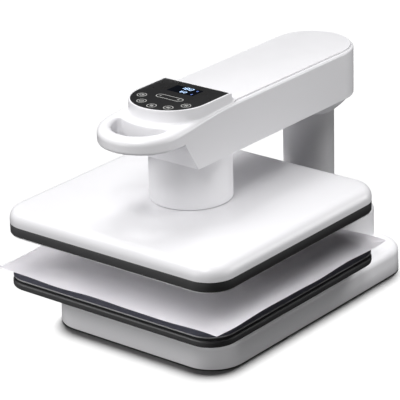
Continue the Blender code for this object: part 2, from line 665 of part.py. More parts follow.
def build_arm_frame():
    """The steel channel inside the arm, and the bridge plate that carries the drive."""
    low, floor = ARM_BOTTOM + WALL + GAP, 0.004
    side = ARM_HALF - WALL - 0.0004
    inner = side - 0.0032
    front, rear = PRESS_Y - 0.045, PRESS_Y + 0.300
    frame = block("arm_frame", (-side, front, low), (side, rear, FRAME_TOP), "steel")
    cut(frame, block("frame_channel", (-inner, front - 0.05, low + floor),
                     (inner, rear + 0.10, FRAME_TOP + 0.05), None, collection=CUTTERS))
    drill(frame, "frame_plunger_hole", PLUNGER_RADIUS + 2 * GAP, 0.25, 0.29, PRESS, 48)
    drill(frame, "frame_hub_hole", HUB_RADIUS + GAP, 0.25, 0.29, COLUMN, 48)
    bridge = [rectangle(side, front, PRESS_Y + 0.105, 0.006, 3), circle(SCREW_RADIUS + 2 * GAP, PRESS, 24),
              circle(0.0188, (0, MOTOR_Y), 32)]
    flat("bridge_plate", bridge, FRAME_TOP + 0.0005, BRIDGE_TOP, "steel")


def build_swing_joint():
    """The hub that turns on the post with its two bushes, and the collar under the arm."""
    low = ARM_BOTTOM + WALL + GAP + 0.004 + GAP
    flange, flange_top, bore, hub_low, hub_high = 0.0500, 0.2760, 0.0312, 0.2520, 0.3280
    hub = [(HUB_RADIUS, hub_high), (HUB_RADIUS, flange_top), (flange, flange_top), (flange, low),
           (HUB_RADIUS, low), (HUB_RADIUS, hub_low), (bore, hub_low), (bore, hub_high)]
    turned("swing_hub", hub, (0, COLUMN_Y, 0), "steel")
    for name, z0, z1 in (("lower", hub_low + GAP, 0.2700), ("upper", 0.3080, hub_high - GAP)):
        tube(f"swing_bush_{name}", bore - GAP, POST_RADIUS + GAP, z0, z1, COLUMN, "brass")
    top, ceiling = ARM_BOTTOM - GAP, COLUMN_TOP + 2 * GAP
    collar = []
    for t in (1.0, 0.75, 0.5, 0.25, 0.0):
        flare = (COLLAR_LIP - COLLAR_NECK) * (1.25 * t - 0.25 * t * t)
        collar.append((COLLAR_NECK + flare, COLLAR_FOOT + (top - COLLAR_FOOT) * t))
    skirt = COLUMN_RADIUS + 2 * GAP
    collar += [(skirt, COLLAR_FOOT), (skirt, ceiling), (HUB_RADIUS + GAP, ceiling), (HUB_RADIUS + GAP, top)]
    turned("swing_collar", collar, (0, COLUMN_Y, 0), "white_shell")
    tube("press_sleeve", SLEEVE_RADIUS, SLEEVE_RADIUS - WALL, COVER_TOP + 0.0008, top, PRESS,
         "white_shell", 56)


build_base()
build_pedestal()
build_column()
build_rear_panel()
build_electronics()
build_lower_platen()
build_upper_platen()
build_ram()
build_drive()
build_arm_shell()
build_console()
build_arm_lid()
build_arm_frame()
build_swing_joint()
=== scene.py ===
"""Looks of the swing-away heat press: fine shells, trim, touch panel, sheet, materials, light and camera.

Everything is in metres in the CAD frame: the front faces -Y and +Z is up.
An outline is a list of (x, y, nx, ny): a point and the unit normal that points into the shape, so that
moving each point along its normal insets the whole outline.
"""
import json
import math

import bmesh
import bpy
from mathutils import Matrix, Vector, noise

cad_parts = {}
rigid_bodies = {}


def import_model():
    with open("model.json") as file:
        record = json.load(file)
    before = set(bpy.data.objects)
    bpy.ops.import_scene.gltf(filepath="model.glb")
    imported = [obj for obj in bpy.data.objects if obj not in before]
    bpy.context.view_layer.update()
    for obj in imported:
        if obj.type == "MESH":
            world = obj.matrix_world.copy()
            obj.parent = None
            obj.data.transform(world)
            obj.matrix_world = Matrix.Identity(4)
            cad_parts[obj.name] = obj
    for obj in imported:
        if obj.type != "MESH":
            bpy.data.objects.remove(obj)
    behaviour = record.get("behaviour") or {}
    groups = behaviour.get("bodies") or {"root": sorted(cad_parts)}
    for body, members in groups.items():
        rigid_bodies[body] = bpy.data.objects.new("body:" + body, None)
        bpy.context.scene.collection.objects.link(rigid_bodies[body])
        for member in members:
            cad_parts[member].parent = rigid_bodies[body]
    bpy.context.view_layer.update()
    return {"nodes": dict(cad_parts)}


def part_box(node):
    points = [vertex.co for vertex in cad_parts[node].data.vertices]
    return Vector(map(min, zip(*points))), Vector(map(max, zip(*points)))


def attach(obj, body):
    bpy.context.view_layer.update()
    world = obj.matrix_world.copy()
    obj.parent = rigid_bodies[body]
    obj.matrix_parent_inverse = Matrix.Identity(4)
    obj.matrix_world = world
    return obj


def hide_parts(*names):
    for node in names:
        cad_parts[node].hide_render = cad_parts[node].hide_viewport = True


for old in list(bpy.data.objects):
    bpy.data.objects.remove(old, do_unlink=True)
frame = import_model()


# ---------------------------------------------------------------- measures read from the frame
def box(node):
    """Lowest and highest corner of a CAD node."""
    low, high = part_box(node)
    return Vector(low), Vector(high)


def centre_y(node):
    """Middle of a CAD node along Y."""
    low, high = box(node)
    return (low.y + high.y) / 2


PRESS_Y = centre_y("heat_plate")
COLUMN_Y = centre_y("column_post")
ARM_LOW, ARM_HIGH = box("arm_shell")
ARM_HALF = ARM_HIGH.x
NOSE_CENTRE = ARM_LOW.y + ARM_HALF
TAIL_CENTRE = ARM_HIGH.y - ARM_HALF

HANDLE_BOTTOM = 0.3075          # underside of the handle
HANDLE_TIP_TOP = 0.3305         # top of the handle at its very front
SLOPE_START = PRESS_Y + 0.020   # the arm's top is level behind this line
CHIN_TOP = PRESS_Y - 0.0890     # the arm's sloped front runs from the handle's underside ...
CHIN_FOOT = PRESS_Y - 0.0625    # ... down to the arm's bottom
CONSOLE_CENTRE = PRESS_Y - 0.038
CONSOLE_HALF = 0.0615
CONSOLE_REAR = PRESS_Y + 0.0225
PANEL_HALF = 0.0590
PANEL_TOP = 0.3537

SHELL_WALL = 0.0030             # thickness of the white shells
PLATEN_CORNER = 0.041           # corner radius of the trays, the mat, the band and the hood
COLLAR_BORE = 0.0363            # radius of the hole that the column stands in
SLEEVE_HOLE = 0.0583            # radius of the hole that the press sleeve hangs in
PAST = 0.01                     # how far a cutter runs past the face that it cuts


# ---------------------------------------------------------------- materials
BUMP_DEPTH = 0.0002


def ramp(nodes, links, source, low, high):
    """A map of a noise's middle range onto low..high."""
    node = nodes.new("ShaderNodeMapRange")
    node.inputs["From Min"].default_value = 0.3
    node.inputs["From Max"].default_value = 0.7
    node.inputs["To Min"].default_value = low
    node.inputs["To Max"].default_value = high
    links.new(source, node.inputs["Value"])
    return node.outputs["Result"]


def noise_node(nodes, links, where, scale, detail=2.0):
    node = nodes.new("ShaderNodeTexNoise")
    node.inputs["Scale"].default_value = scale
    node.inputs["Detail"].default_value = detail
    links.new(where, node.inputs["Vector"])
    return node.outputs["Fac"]


def finish(name, colour, roughness, metallic=0.0, mottle=(9.0, 0.02), polish=(60.0, 0.04),
           grain=(1400.0, 0.03), stretch=(1, 1, 1), **sockets):
    """A procedural material: mottled colour, uneven polish and a fine grain in the surface.

    mottle, polish and grain each hold a noise's scale and how strongly it shows.
    """
    made = bpy.data.materials.new(name)
    made.use_nodes = True
    nodes, links = made.node_tree.nodes, made.node_tree.links
    shader = nodes["Principled BSDF"]
    place = nodes.new("ShaderNodeTexCoord")
    mapping = nodes.new("ShaderNodeMapping")
    mapping.inputs["Scale"].default_value = stretch
    links.new(place.outputs["Object"], mapping.inputs["Vector"])
    where = mapping.outputs["Vector"]

    mix = nodes.new("ShaderNodeMix")
    mix.data_type = "RGBA"
    mix.inputs["A"].default_value = (*[c * (1 - mottle[1]) for c in colour], 1)
    mix.inputs["B"].default_value = (*[min(1, c * (1 + mottle[1])) for c in colour], 1)
    cloudy = noise_node(nodes, links, where, mottle[0], 4.0)
    links.new(ramp(nodes, links, cloudy, 0, 1), mix.inputs["Factor"])
    links.new(mix.outputs["Result"], shader.inputs["Base Color"])

    worn = noise_node(nodes, links, where, polish[0], 3.0)
    uneven = ramp(nodes, links, worn, roughness - polish[1], roughness + polish[1])
    links.new(uneven, shader.inputs["Roughness"])

    bump = nodes.new("ShaderNodeBump")
    bump.inputs["Strength"].default_value = grain[1]
    bump.inputs["Distance"].default_value = BUMP_DEPTH
    links.new(noise_node(nodes, links, where, grain[0]), bump.inputs["Height"])
    links.new(bump.outputs["Normal"], shader.inputs["Normal"])

    shader.inputs["Metallic"].default_value = metallic
    for socket, value in sockets.items():
        shader.inputs[socket.replace("_", " ")].default_value = value
    made.diffuse_color = (*colour, 1)
    return made


def woven(name, colour, roughness, pitch, depth):
    """A coated glass cloth: threads that cross at that pitch, under a thin and slightly uneven coat."""
    made = finish(name, colour, roughness, mottle=(14.0, 0.015), polish=(90.0, 0.05), grain=(900.0, 0.02))
    nodes, links = made.node_tree.nodes, made.node_tree.links
    place = nodes.new("ShaderNodeTexCoord")
    total = None
    for direction in ("X", "Y"):
        wave = nodes.new("ShaderNodeTexWave")
        wave.bands_direction = direction
        wave.inputs["Scale"].default_value = 1 / (pitch * math.pi)
        wave.inputs["Distortion"].default_value = 0.4
        links.new(place.outputs["Object"], wave.inputs["Vector"])
        if total is None:
            total = wave.outputs["Fac"]
        else:
            product = nodes.new("ShaderNodeMath")
            product.operation = "MULTIPLY"
            links.new(total, product.inputs[0])
            links.new(wave.outputs["Fac"], product.inputs[1])
            total = product.outputs["Value"]
    bump = nodes.new("ShaderNodeBump")
    bump.inputs["Strength"].default_value = depth
    bump.inputs["Distance"].default_value = BUMP_DEPTH
    links.new(total, bump.inputs["Height"])
    shader = nodes["Principled BSDF"]
    links.new(shader.inputs["Normal"].links[0].from_socket, bump.inputs["Normal"])
    links.new(bump.outputs["Normal"], shader.inputs["Normal"])
    return made


def glowing(name, colour, strength):
    """Lit segments behind glass."""
    made = finish(name, [c * 0.5 for c in colour], 0.3)
    shader = made.node_tree.nodes["Principled BSDF"]
    shader.inputs["Emission Color"].default_value = (*colour, 1)
    shader.inputs["Emission Strength"].default_value = strength
    return made


for packed in list(bpy.data.materials):
    packed.name = "packed_" + packed.name

MATERIALS = {
    "white_shell": finish("white_shell", (0.84, 0.835, 0.855), 0.34, mottle=(7.0, 0.006), polish=(45.0, 0.03),
                          grain=(1100.0, 0.035), Specular_IOR_Level=0.42),
    "dark_band": finish("dark_band", (0.034, 0.034, 0.035), 0.52, grain=(1600.0, 0.22), polish=(80.0, 0.07),
                        Specular_IOR_Level=0.30),
    "slate_silicone": finish("slate_silicone", (0.066, 0.067, 0.088), 0.62, grain=(1300.0, 0.30),
                             mottle=(120.0, 0.10), Specular_IOR_Level=0.35),
    # Painted highlight: the lower plate's aluminium edge gets a flat mid grey instead of metal, so it shows
    # as a light line between the mat and the gasket
    "milled_edge": finish("milled_edge", (0.26, 0.26, 0.265), 0.50, stretch=(1, 12, 1), polish=(300.0, 0.08)),
    # Partly painted highlight: the heated plate's own light aluminium tone, made only partly metallic so its
    # edge below the band shows as a lit light line
    "cast_plate": finish("cast_plate", (0.80, 0.80, 0.81), 0.42, metallic=0.35, mottle=(160.0, 0.05)),
    "black_rubber": finish("black_rubber", (0.016, 0.016, 0.017), 0.78, grain=(1200.0, 0.35)),
    "black_glass": finish("black_glass", (0.022, 0.022, 0.0225), 0.30, grain=(2600.0, 0.10),
                          mottle=(700.0, 0.12), Specular_IOR_Level=0.14),
    "display": finish("display", (0.004, 0.005, 0.008), 0.22, Specular_IOR_Level=0.14),
    "black_plastic": finish("black_plastic", (0.022, 0.022, 0.023), 0.46, grain=(1500.0, 0.30)),
    "coated_cloth": woven("coated_cloth", (0.86, 0.84, 0.875), 0.50, 0.0011, 0.10),
    "aluminium": finish("aluminium", (0.78, 0.78, 0.79), 0.30, metallic=1.0, stretch=(1, 12, 1),
                        polish=(300.0, 0.08)),
    "steel": finish("steel", (0.52, 0.53, 0.55), 0.34, metallic=1.0, stretch=(1, 9, 1), polish=(260.0, 0.09),
                    grain=(700.0, 0.08)),
    "brass": finish("brass", (0.72, 0.54, 0.24), 0.30, metallic=1.0, mottle=(200.0, 0.08),
                    polish=(300.0, 0.07)),
    "circuit_board": finish("circuit_board", (0.02, 0.15, 0.06), 0.40, mottle=(420.0, 0.35),
                            grain=(800.0, 0.2)),
    "ceramic_board": finish("ceramic_board", (0.78, 0.75, 0.68), 0.88, mottle=(260.0, 0.10),
                            grain=(700.0, 0.4)),
    "icon_print": finish("icon_print", (0.62, 0.62, 0.60), 0.45, mottle=(300.0, 0.05)),
    "digit_glow": glowing("digit_glow", (0.50, 0.70, 1.0), 1.5),
    "unit_glow": glowing("unit_glow", (0.16, 0.24, 0.62), 1.0),
}

for node in frame["nodes"].values():
    for index, packed in enumerate(node.data.materials):
        node.data.materials[index] = MATERIALS[packed.name.removeprefix("packed_")]


# ---------------------------------------------------------------- helpers
def piece(name, bm, finish_name, body, stands_for=(), angle=32):
    """Turn a bmesh into a named object that rides on a body and stands for CAD nodes.

    Edges sharper than angle, in degrees, stay sharp.
    """
    bmesh.ops.recalc_face_normals(bm, faces=bm.faces)
    mesh = bpy.data.meshes.new(name)
    bm.to_mesh(mesh)
    bm.free()
    made = bpy.data.objects.new(name, mesh)
    bpy.context.scene.collection.objects.link(made)
    mesh.shade_smooth()
    mesh.set_sharp_from_angle(angle=math.radians(angle))
    if finish_name:
        mesh.materials.append(MATERIALS[finish_name])
    if body:
        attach(made, body)
    if stands_for:
        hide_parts(*stands_for)
    return made


def arc(cx, cy, radius, start, end, steps, inward=1):
    """Outline points on an arc, in degrees; inward is -1 where the shape lies outside the arc's circle."""
    points = []
    for k in range(steps + 1):
        angle = math.radians(start + (end - start) * k / steps)
        c, s = math.cos(angle), math.sin(angle)
        points.append((cx + radius * c, cy + radius * s, -c * inward, -s * inward))
    return points


def rectangle(low, high, corner, steps=16):
    """Outline of a rectangle with round corners."""
    x0, y0, x1, y1 = low[0] + corner, low[1] + corner, high[0] - corner, high[1] - corner
    return (arc(x1, y0, corner, -90, 0, steps) + arc(x1, y1, corner, 0, 90, steps)
            + arc(x0, y1, corner, 90, 180, steps) + arc(x0, y0, corner, 180, 270, steps))


def round_front(half, centre, rear, corner=0.001, steps=64):
    """D outline: a half-round front about its centre, and a straight rear edge with small corners."""
    return (arc(0, centre, half, 180, 360, steps) + arc(half - corner, rear - corner, corner, 0, 90, 5)
            + arc(corner - half, rear - corner, corner, 90, 180, 5))


def round_rear(half, front, centre, corner=0.001, steps=64):
    """D outline: a straight front edge with small corners, and a half-round rear about its centre."""
    return (arc(corner - half, front + corner, corner, 180, 270, 5)
            + arc(half - corner, front + corner, corner, 270, 360, 5) + arc(0, centre, half, 0, 180, steps))


def inset(outline, depth, z):
    """The outline moved inwards by depth, at height z."""
    return [(x + nx * depth, y + ny * depth, z) for x, y, nx, ny in outline]


def rounding(radius, steps=6, power=2.0):
    """(inset, drop) from the wall to the flat of an edge rounded to that radius; power 2 is a true round."""
    points = []
    for k in range(steps + 1):
        angle = math.pi / 2 * k / steps
        across = radius * (1 - math.cos(angle) ** (2 / power))
        points.append((across, radius * (1 - math.sin(angle) ** (2 / power))))
    return points


def edges(z0, z1, bottom, top, steps=6, power=2.0):
    """(inset, z) rings of a slab from its underside to its top, with both edges rounded."""
    rings = [(across, z0 + drop) for across, drop in reversed(rounding(bottom, steps, power))]
    return rings + [(across, z1 - drop) for across, drop in rounding(top, steps, power)]


def skin(loops, cap_first=True, cap_last=True, closed=False):
    """Quads between loops that follow each other, with flat caps on the first and the last."""
    bm = bmesh.new()
    rows = [[bm.verts.new(point) for point in loop] for loop in loops]
    count = len(rows[0])
    pairs = list(zip(rows, rows[1:]))
    if closed:
        pairs.append((rows[-1], rows[0]))
    for lower, upper in pairs:
        for k in range(count):
            after = (k + 1) % count
            bm.faces.new((lower[k], lower[after], upper[after], upper[k]))
    if cap_first and not closed:
        bm.faces.new(rows[0][::-1])
    if cap_last and not closed:
        bm.faces.new(rows[-1])
    return bm


def stack(outline, rings):
    """A closed bmesh from one outline and its (inset, z) rings."""
    return skin([inset(outline, depth, z) for depth, z in rings])


def slab(name, outline, rings, finish_name, body, stands_for=()):
    """A closed piece from one outline and its (inset, z) rings."""
    return piece(name, stack(outline, rings), finish_name, body, stands_for)


def lathe(name, profile, at, finish_name, body, stands_for=(), steps=96, closed=True):
    """A turned piece from its (radius, z) profile."""
    loops = []
    for radius, z in profile:
        loops.append([(at[0] + radius * math.cos(2 * math.pi * k / steps),
                       at[1] + radius * math.sin(2 * math.pi * k / steps), z) for k in range(steps)])
    return piece(name, skin(loops, closed=closed), finish_name, body, stands_for)


def settle(made):
    """Keep the modifiers' result as the object's own mesh."""
    graph = bpy.context.evaluated_depsgraph_get()
    mesh = bpy.data.meshes.new_from_object(made.evaluated_get(graph))
    old = made.data
    made.modifiers.clear()
    made.data = mesh
    bpy.data.meshes.remove(old)
    return made


def cutter(bm):
    """A closed bmesh as a tool for carve."""
    return piece("cutter", bm, None, None)


def carve(target, *tools, angle=32):
    """Cut every tool out of the target, then forget the tools."""
    for tool in tools:
        step = target.modifiers.new(tool.name, "BOOLEAN")
        step.operation = "DIFFERENCE"
        step.solver = "EXACT"
        step.object = tool
    settle(target)
    for tool in tools:
        bpy.data.objects.remove(tool, do_unlink=True)
    target.data.shade_smooth()
    target.data.set_sharp_from_angle(angle=math.radians(angle))
    weighted = target.modifiers.new("flat faces stay flat", "WEIGHTED_NORMAL")
    weighted.keep_sharp = True
    weighted.weight = 90
    return settle(target)


def brick(low, high, bevel=0.0, segments=3):
    """A bmesh box between two corners, with rounded edges."""
    bm = bmesh.new()
    bmesh.ops.create_cube(bm, size=1)
    low, high = Vector(low), Vector(high)
    bmesh.ops.scale(bm, vec=high - low, verts=bm.verts)
    bmesh.ops.translate(bm, vec=(low + high) / 2, verts=bm.verts)
    if bevel:
        bmesh.ops.bevel(bm, geom=bm.edges[:], offset=bevel, segments=segments, profile=0.5, affect="EDGES")
    return bm


def smooth_step(value, start, end):
    """0 before start, 1 after end, and a smooth rise between."""
    t = min(1.0, max(0.0, (value - start) / (end - start)))
    return t * t * (3 - 2 * t)


# ---------------------------------------------------------------- base and pedestal
INLET_FLANGE = 0.0045           # how far each fitting's flange stands out round its body
SWITCH_FLANGE = 0.0025


def build_base():
    """The base: a shell round its plate, with a small round at the foot and a soft one on top."""
    low, high = box("base_shell")
    corner, edge = 0.053, 0.0125
    lean = 0.0008               # how far the wall leans in by the top
    lean_height = 0.020
    ceiling = box("base_plate")[1].z + 0.0003
    rings = [(SHELL_WALL, ceiling), (SHELL_WALL, low.z + 0.0006), (SHELL_WALL - 0.0006, low.z)]
    rings += [(0.0014, low.z), (0.0005, low.z + 0.0004), (0.0, low.z + 0.0014)]
    rings.append((0.75 * lean, lean_height))
    rings += [(lean + across, high.z - drop) for across, drop in rounding(edge, 12, 2.3)]
    slab("base_body", rectangle(low, high, corner, 20), rings, "white_shell", "base", ["base_shell"])


def build_platen_support():
    """The plinth under the lower platen, open in the middle."""
    low, high = box("platen_plinth")
    wall, corner, inner_corner = 0.010, 0.030, 0.022
    step = Vector((wall, wall, 0))
    ring = rectangle(low, high, corner, 10)
    hollow = rectangle(low + step, high - step, inner_corner, 10)
    loops = [inset(ring, 0.0, low.z), inset(ring, 0.0, high.z)]
    loops += [inset(hollow, 0.0, high.z), inset(hollow, 0.0, low.z)]
    piece("platen_support", skin(loops, closed=True), "white_shell", "base", ["platen_plinth"])


def build_pedestal():
    """The column's pedestal, with a pocket for each fitting of the rear panel."""
    low, high = box("pedestal_housing")
    corner, edge = 0.045, 0.008
    rings = [(SHELL_WALL, low.z + 0.004), (SHELL_WALL, low.z), (0.0, low.z)]
    rings += [(across, high.z - drop) for across, drop in rounding(edge, 8, 2.2)]
    outline = rectangle(low, high, corner, 20)
    body = slab("pedestal", outline, rings, "white_shell", "base", ["pedestal_housing"])
    pockets = []
    for node, flange in (("inlet_body", INLET_FLANGE), ("switch_housing", SWITCH_FLANGE)):
        start, end = box(node)
        rim = flange - 0.0003
        start, end = start + Vector((rim, -0.002, rim)), end + Vector((-rim, PAST, -rim))
        pockets.append(cutter(brick(start, end)))
    carve(body, *pockets)


def build_column():
    low, high = box("column_cover")
    radius = high.x
    inner, bevel = radius - SHELL_WALL, 0.0008
    profile = [(inner, low.z), (radius, low.z), (radius, low.z + bevel / 2), (radius, high.z - bevel),
               (radius - bevel, high.z), (inner, high.z)]
    lathe("column_tube", profile, (0, COLUMN_Y), "white_shell", "base", ["column_cover"], 128)


def build_collar():
    """The flared skirt that turns with the arm: it reaches down round the top of the column."""
    low, high = box("swing_collar")
    ceiling = box("column_cover")[1].z + 0.0006
    sleeve, neck, lip = 0.0402, 0.0418, high.x
    bevel, bow, steps = 0.0005, 0.25, 12
    profile = [(COLLAR_BORE, high.z), (COLLAR_BORE, ceiling), (sleeve, ceiling), (sleeve, low.z)]
    profile.append((neck - bevel, low.z))
    foot = low.z + bevel
    for k in range(steps + 1):
        t = k / steps
        flare = (1 + bow) * t - bow * t * t
        profile.append((neck + (lip - neck) * flare, foot + (high.z - foot) * t))
    lathe("collar_skirt", profile, (0, COLUMN_Y), "white_shell", "arm", ["swing_collar"], 128)


# ---------------------------------------------------------------- lower platen
def layer(name, node, finish_name, corner, bottom, top, steps):
    """One layer of the lower platen, with its bottom and top edges rounded."""
    low, high = box(node)
    rings = edges(low.z, high.z, bottom, top, steps)
    return slab(name, rectangle(low, high, corner, 20), rings, finish_name, "base", [node])


def build_lower_platen():
    layer("lower_tray_rim", "lower_tray", "dark_band", PLATEN_CORNER, 0.0020, 0.0022, 6)
    layer("gasket_ring", "tray_gasket", "black_rubber", PLATEN_CORNER - 0.004, 0.0004, 0.0004, 2)
    # The bed's flat grey edge is a painted highlight for the metal plate's lit edge
    layer("lower_bed", "lower_plate", "milled_edge", PLATEN_CORNER, 0.0003, 0.0003, 2)
    mat = layer("silicone_mat", "silicone_pad", "slate_silicone", PLATEN_CORNER, 0.0005, 0.0022, 5)


def build_sheet():
    """The coated sheet: nearly flat over the mat, gently waved along its free edges."""
    low, high = box("protective_sheet")
    cells = 136
    thickness = 0.0003
    half = (high.x - low.x) / 2
    middle = low.z + 0.0009     # mean height of the flat part
    buckle, lift, swell = 0.0004, 0.0008, 0.0010
    bm = bmesh.new()
    rows = []
    for j in range(cells + 1):
        row = []
        for i in range(cells + 1):
            u, v = -1 + 2 * i / cells, -1 + 2 * j / cells
            near = max(abs(u), abs(v))
            free = smooth_step(near, 0.86, 1.0)
            edge = u if abs(v) >= abs(u) else v
            phase = 1.7 if abs(v) >= abs(u) else 4.1
            wave = math.sin(7.3 * edge + phase) + 0.4 * math.sin(12.1 * edge + 2 * phase)
            ripple = noise.noise(Vector((u * 2.1, v * 2.1, 3.0)))
            z = middle + buckle * ripple * (1 - free) + (lift + swell * wave) * free
            row.append(bm.verts.new((u * half, PRESS_Y + v * half, z)))
        rows.append(row)
    for lower, upper in zip(rows, rows[1:]):
        for k in range(cells):
            bm.faces.new((lower[k], lower[k + 1], upper[k + 1], upper[k]))
    bmesh.ops.solidify(bm, geom=bm.faces[:], thickness=thickness)
    sheet = piece("press_sheet", bm, "coated_cloth", "base", ["protective_sheet"])


# ---------------------------------------------------------------- upper platen and press sleeve
def build_upper_platen():
    """The hood, the dark band under it, and the heated plate that stands out below the band."""
    low, high = box("platen_cover")
    edge, bevel = 0.0185, 0.0004
    rings = [(SHELL_WALL, low.z + 0.006), (SHELL_WALL, low.z), (bevel, low.z), (0.0, low.z + bevel)]
    rings += [(across, high.z - drop) for across, drop in rounding(edge, 18, 2.15)]
    outline = rectangle(low, high, PLATEN_CORNER, 28)
    slab("platen_hood", outline, rings, "white_shell", "ram", ["platen_cover"])

    low, high = box("heat_band")
    wall = 0.006
    rings = edges(low.z, high.z, 0.0008, 0.0006, 3) + [(wall, high.z), (wall, low.z)]
    outline = rectangle(low, high, PLATEN_CORNER, 28)
    loops = [inset(outline, depth, z) for depth, z in rings]
    piece("platen_band", skin(loops, closed=True), "dark_band", "ram", ["heat_band"])

    low, high = box("heat_plate")
    shoulder = 0.1523           # above this height the plate is narrower, inside the band
    rings = edges(low.z, shoulder, 0.0006, 0.0002, 3) + [(wall, shoulder), (wall, high.z)]
    outline = rectangle(low, high, PLATEN_CORNER - 0.001, 28)
    # The plate's light, partly metallic finish is partly its own aluminium tone and partly a painted
    # highlight on its edge
    slab("heating_plate", outline, rings, "cast_plate", "ram", ["heat_plate"])


def build_press_sleeve():
    """The sleeve that hangs from the arm, and the plunger that slides in it."""
    low, high = box("press_sleeve")
    outer, bevel = high.x, 0.0007
    inner = outer - SHELL_WALL
    profile = [(inner, high.z), (inner, low.z), (outer - bevel, low.z), (outer, low.z + bevel)]
    profile.append((outer, high.z))
    lathe("sleeve_tube", profile, (0, PRESS_Y), "white_shell", "arm", ["press_sleeve"], 144)

    low, high = box("plunger")
    outer, bevel = high.x, 0.0005
    inner, hole = outer - 0.0035, 0.0120
    roof = high.z - 0.004
    profile = [(hole, high.z), (outer - bevel, high.z), (outer, high.z - bevel), (outer, low.z)]
    profile += [(inner, low.z), (inner, roof), (hole, roof)]
    lathe("plunger_tube", profile, (0, PRESS_Y), "white_shell", "ram", ["plunger"], 144)


# ---------------------------------------------------------------- arm
def top_z(y):
    """Height of the arm's top: level at the rear, falling gently to the handle's tip."""
    fall = (ARM_HIGH.z - HANDLE_TIP_TOP) / (SLOPE_START - ARM_LOW.y)
    return ARM_HIGH.z - max(0.0, SLOPE_START - y) * fall


def bottom_z(y):
    """Height of the underside: the handle's, then the sloped front, then the arm's own."""
    t = min(1.0, max(0.0, (y - CHIN_TOP) / (CHIN_FOOT - CHIN_TOP)))
    return HANDLE_BOTTOM + (ARM_LOW.z - HANDLE_BOTTOM) * t


def edge_radius(y):
    """Rounding of the arm's top edge: generous round the handle, tighter along the arm."""
    return 0.0100 - 0.0060 * smooth_step(y, CHIN_TOP - 0.02, PRESS_Y)


def arm_surface(x, y):
    """Height of the arm's top surface, its rounded side edges included."""
    radius = edge_radius(y)
    over = min(radius, max(0.0, radius - (ARM_HALF - abs(x))))
    return top_z(y) - radius + math.sqrt(radius ** 2 - over ** 2)


def arm_loop(side, depth, top):
    """One loop round the arm, at an angle into its edge rounding; side is the outline's right half."""
    right = []
    for x, y, nx, ny in side:
        if top:
            radius = edge_radius(y)
        else:
            radius = 0.0050 if y < CHIN_TOP - 0.0003 else 0.0006
        across, drop = radius * (1 - math.cos(depth)), radius * (1 - math.sin(depth))
        px, py = x + nx * across, y + ny * across
        right.append((px, py, top_z(py) - drop if top else bottom_z(y) + drop))
    return right + [(-x, y, z) for x, y, z in reversed(right[1:-1])]


def ladder(bm, row):
    """Close a loop that is mirrored about x = 0 with rungs across it."""
    count = len(row)
    half = count // 2
    for k in range(half):
        rung = [row[k], row[k + 1]]
        for other in ((count - k - 1) % count, (count - k) % count):
            if row[other] not in rung:
                rung.append(row[other])
        bm.faces.new(rung)


def finger_opening():
    """Outline of the finger opening: half-round in front, and bowed forward by the console behind."""
    front, front_radius = NOSE_CENTRE, 0.0455
    rear_radius = 0.095
    rear = PRESS_Y - 0.1110 + rear_radius
    corner = 0.0045
    near, far = front_radius - corner, rear_radius + corner
    gap = rear - front
    along = (near ** 2 - far ** 2 + gap ** 2) / (2 * gap)
    x, y = math.sqrt(near ** 2 - along ** 2), front + along
    lean = math.degrees(math.atan2(y - front, x))
    face = math.degrees(math.atan2(rear - y, -x))
    spread = math.degrees(math.atan2(x, rear - y))
    points = arc(0, front, front_radius, 180 - lean, 360 + lean, 48)
    points += arc(x, y, corner, lean, face, 10)[1:]
    points += arc(0, rear, rear_radius, -90 + spread, -90 - spread, 32, inward=-1)[1:-1]
    points += arc(-x, y, corner, 180 - face, 180 - lean, 10)[:-1]
    return points


def mouth_loop(opening, across, drop, top):
    """One loop of the finger opening's flared mouth, wider at the front than at the rear."""
    points = []
    for x, y, nx, ny in opening:
        lip = 0.0032 + 0.0033 * smooth_step(ny, -0.6, 0.6)
        px, py = x - nx * across * lip, y - ny * across * lip
        points.append((px, py, top_z(py) - drop * lip if top else HANDLE_BOTTOM + drop * lip))
    return points


def finger_cutter():
    """The tool for the finger opening, flared at both faces of the handle."""
    opening = finger_opening()
    flare = rounding(1.0, 7)
    loops = [mouth_loop(opening, across, drop, False) for across, drop in reversed(flare)]
    loops.insert(0, [(x, y, z - PAST) for x, y, z in loops[0]])
    loops += [mouth_loop(opening, across, drop, True) for across, drop in flare]
    loops.append([(x, y, z + PAST) for x, y, z in loops[-1]])
    return cutter(skin(loops))


def arm_cutters():
    """The tools that hollow the arm, and its holes for the press sleeve and the column."""
    floor = ARM_LOW.z + SHELL_WALL
    front = CHIN_FOOT + 0.0035
    rim, rim_foot = 0.0057, 0.311       # the rim under the lid is wider than the walls below it
    above = 0.36                        # a height over the whole arm
    pocket = round_rear(ARM_HALF - SHELL_WALL, front, TAIL_CENTRE)
    mouth = round_rear(ARM_HALF - rim, front, TAIL_CENTRE)
    bay = round_front(0.0540, CONSOLE_CENTRE, PRESS_Y)
    tools = [cutter(stack(pocket, [(0, floor), (0, rim_foot + 0.001)])),
             cutter(stack(mouth, [(0, rim_foot), (0, above)])),
             cutter(stack(bay, [(0, HANDLE_BOTTOM + 0.004), (0, above)]))]
    for y, radius in ((PRESS_Y, SLEEVE_HOLE), (COLUMN_Y, COLLAR_BORE)):
        hole = arc(0, y, radius, 0, 360, 96)[:-1]
        tools.append(cutter(stack(hole, [(0, floor - PAST), (0, floor + 0.004)])))
    return tools


